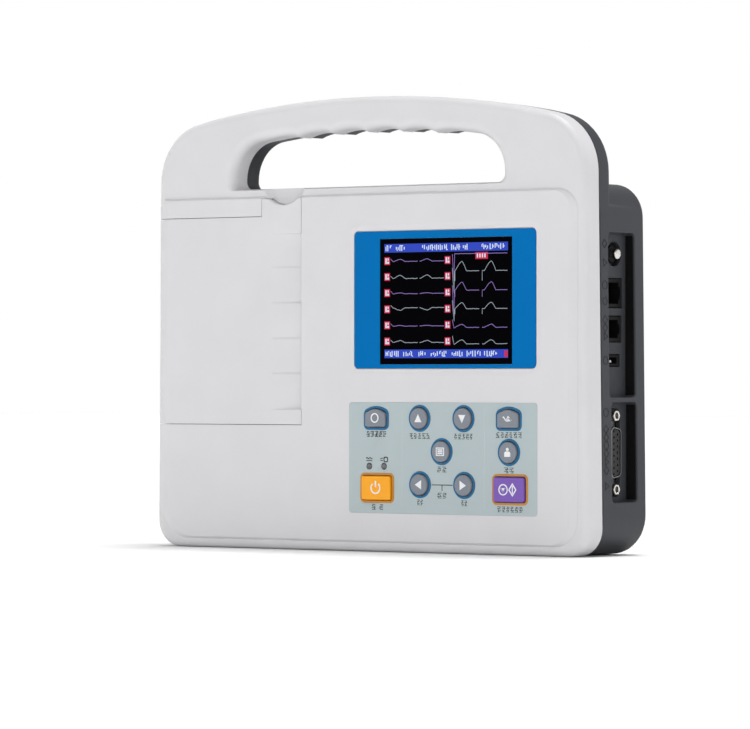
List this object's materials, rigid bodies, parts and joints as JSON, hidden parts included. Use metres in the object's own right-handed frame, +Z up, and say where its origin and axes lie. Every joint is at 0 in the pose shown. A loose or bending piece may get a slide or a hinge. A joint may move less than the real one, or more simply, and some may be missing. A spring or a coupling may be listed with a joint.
{
  "type": "ecg machine",
  "caption": "Portable ECG recorder with a carry handle, colour display, keypad, side connectors and a hinged paper door over a thermal printer.",
  "frame": {"origin": "under the middle of the machine, on the surface it stands on", "axes": "+X to the right of someone facing the keypad, +Y to the back of the machine, +Z up towards the handle"},
  "size_m": [0.2538, 0.0524, 0.21],
  "materials": {
    "shell_white": "fine moulded texture, satin",
    "shell_grey": "fine moulded texture, satin",
    "steel": "bright zinc plate",
    "bezel_blue": "printed polycarbonate, satin gloss",
    "window_glass": "glossy dark display window",
    "lcd_frame": "folded tin frame",
    "keypad_grey": "printed polyester overlay",
    "circuit_board": "solder mask green",
    "led_lens": "translucent light pipe",
    "battery_wrap": "shrink wrap",
    "black_plastic": "moulded",
    "nickel": "nickel plate",
    "ribbon_cable": "flat flexible cable",
    "gear_plastic": "acetal",
    "brass": "machined",
    "platen_rubber": "ground rubber",
    "paper": "thermal chart paper",
    "spindle_plastic": "moulded",
    "frame_plastic": "glass-filled plastic",
    "head_ceramic": "glazed ceramic on a heat sink",
    "motor_steel": "zinc plate",
    "key_grey": "satin key cap",
    "key_orange": "satin key cap",
    "key_purple": "satin key cap",
    "foot_rubber": "matt"
  },
  "bodies": {
    "root": {"amplifier_board": "circuit_board", "auxiliary_jack": "black_plastic", "battery_cover": "shell_grey", "battery_pack": "battery_wrap", "case_screw_base_left": "steel", "case_screw_base_right": "steel", "case_screw_handle_left": "steel", "case_screw_handle_right": "steel", "case_screw_top_left": "steel", "case_screw_top_right": "steel", "connector_board": "circuit_board", "display_bezel": "bezel_blue", "display_ribbon": "ribbon_cable", "display_window": "window_glass", "door_hinge_pin": "steel", "earth_terminal": "nickel", "foot_base_left": "foot_rubber", "foot_base_right": "foot_rubber", "foot_top_left": "foot_rubber", "foot_top_right": "foot_rubber", "front_shell": "shell_white", "jackscrew_lower": "nickel", "jackscrew_upper": "nickel", "keypad_board": "circuit_board", "keypad_overlay": "keypad_grey", "lcd_module": "lcd_frame", "led_lens_battery": "led_lens", "led_lens_mains": "led_lens", "main_board": "circuit_board", "mains_inlet": "black_plastic", "network_jack": "black_plastic", "patient_connector_insert": "black_plastic", "patient_connector_shell": "nickel", "power_module": "circuit_board", "print_head": "head_ceramic", "print_head_ribbon": "ribbon_cable", "printer_frame": "frame_plastic", "rear_shell": "shell_grey", "serial_jack": "black_plastic", "speaker": "black_plastic", "stepper_motor": "motor_steel", "tear_bar": "steel"},
    "paper_door": {"paper_door": "shell_white"},
    "platen": {"platen_shaft": "steel", "platen_roller": "platen_rubber", "platen_gear": "gear_plastic"},
    "idler": {"idler_gear": "gear_plastic"},
    "pinion": {"motor_pinion": "brass"},
    "roll": {"paper_roll": "paper", "paper_spindle": "spindle_plastic"},
    "key_mode": {"key_mode": "key_grey"},
    "key_up": {"key_up": "key_grey"},
    "key_down": {"key_down": "key_grey"},
    "key_back": {"key_back": "key_grey"},
    "key_menu": {"key_menu": "key_grey"},
    "key_patient": {"key_patient": "key_grey"},
    "key_left": {"key_left": "key_grey"},
    "key_right": {"key_right": "key_grey"},
    "key_power": {"key_power": "key_orange"},
    "key_start_stop": {"key_start_stop": "key_purple"}
  },
  "joints": [
    {"name": "paper_door_hinge", "type": "hinge", "parent": "root", "child": "paper_door", "pos_m": [-0.1233, -0.016, 0.058], "axis": [0, 0, -1], "range_deg": [0, 90]},
    {"name": "platen_spin", "type": "hinge", "parent": "paper_door", "child": "platen", "pos_m": [-0.0413, -0.0158, 0.108], "axis": [0, 0, 1], "continuous": true},
    {"name": "idler_spin", "type": "hinge", "parent": "root", "child": "idler", "pos_m": [-0.04441, -0.00421, 0.1542], "axis": [0, 0, 1], "continuous": true},
    {"name": "pinion_spin", "type": "hinge", "parent": "root", "child": "pinion", "pos_m": [-0.0491, 0.00462, 0.1542], "axis": [0, 0, 1], "continuous": true},
    {"name": "roll_spin", "type": "hinge", "parent": "root", "child": "roll", "pos_m": [-0.0925, 0.0014, 0.107], "axis": [0, 0, 1], "continuous": true},
    {"name": "key_mode_press", "type": "slide", "parent": "root", "child": "key_mode", "axis": [0, 1, 0], "range_m": [0, 0.0008], "stiffness_N_per_m": 800},
    {"name": "key_up_press", "type": "slide", "parent": "root", "child": "key_up", "axis": [0, 1, 0], "range_m": [0, 0.0008], "stiffness_N_per_m": 800},
    {"name": "key_down_press", "type": "slide", "parent": "root", "child": "key_down", "axis": [0, 1, 0], "range_m": [0, 0.0008], "stiffness_N_per_m": 800},
    {"name": "key_back_press", "type": "slide", "parent": "root", "child": "key_back", "axis": [0, 1, 0], "range_m": [0, 0.0008], "stiffness_N_per_m": 800},
    {"name": "key_menu_press", "type": "slide", "parent": "root", "child": "key_menu", "axis": [0, 1, 0], "range_m": [0, 0.0008], "stiffness_N_per_m": 800},
    {"name": "key_patient_press", "type": "slide", "parent": "root", "child": "key_patient", "axis": [0, 1, 0], "range_m": [0, 0.0008], "stiffness_N_per_m": 800},
    {"name": "key_left_press", "type": "slide", "parent": "root", "child": "key_left", "axis": [0, 1, 0], "range_m": [0, 0.0008], "stiffness_N_per_m": 800},
    {"name": "key_right_press", "type": "slide", "parent": "root", "child": "key_right", "axis": [0, 1, 0], "range_m": [0, 0.0008], "stiffness_N_per_m": 800},
    {"name": "key_power_press", "type": "slide", "parent": "root", "child": "key_power", "axis": [0, 1, 0], "range_m": [0, 0.0008], "stiffness_N_per_m": 800},
    {"name": "key_start_stop_press", "type": "slide", "parent": "root", "child": "key_start_stop", "axis": [0, 1, 0], "range_m": [0, 0.0008], "stiffness_N_per_m": 800}
  ],
  "couplings": [
    {"joint": "idler_spin", "follows": "platen_spin", "ratio": -0.71429},
    {"joint": "pinion_spin", "follows": "platen_spin", "ratio": 1.6667}
  ]
}
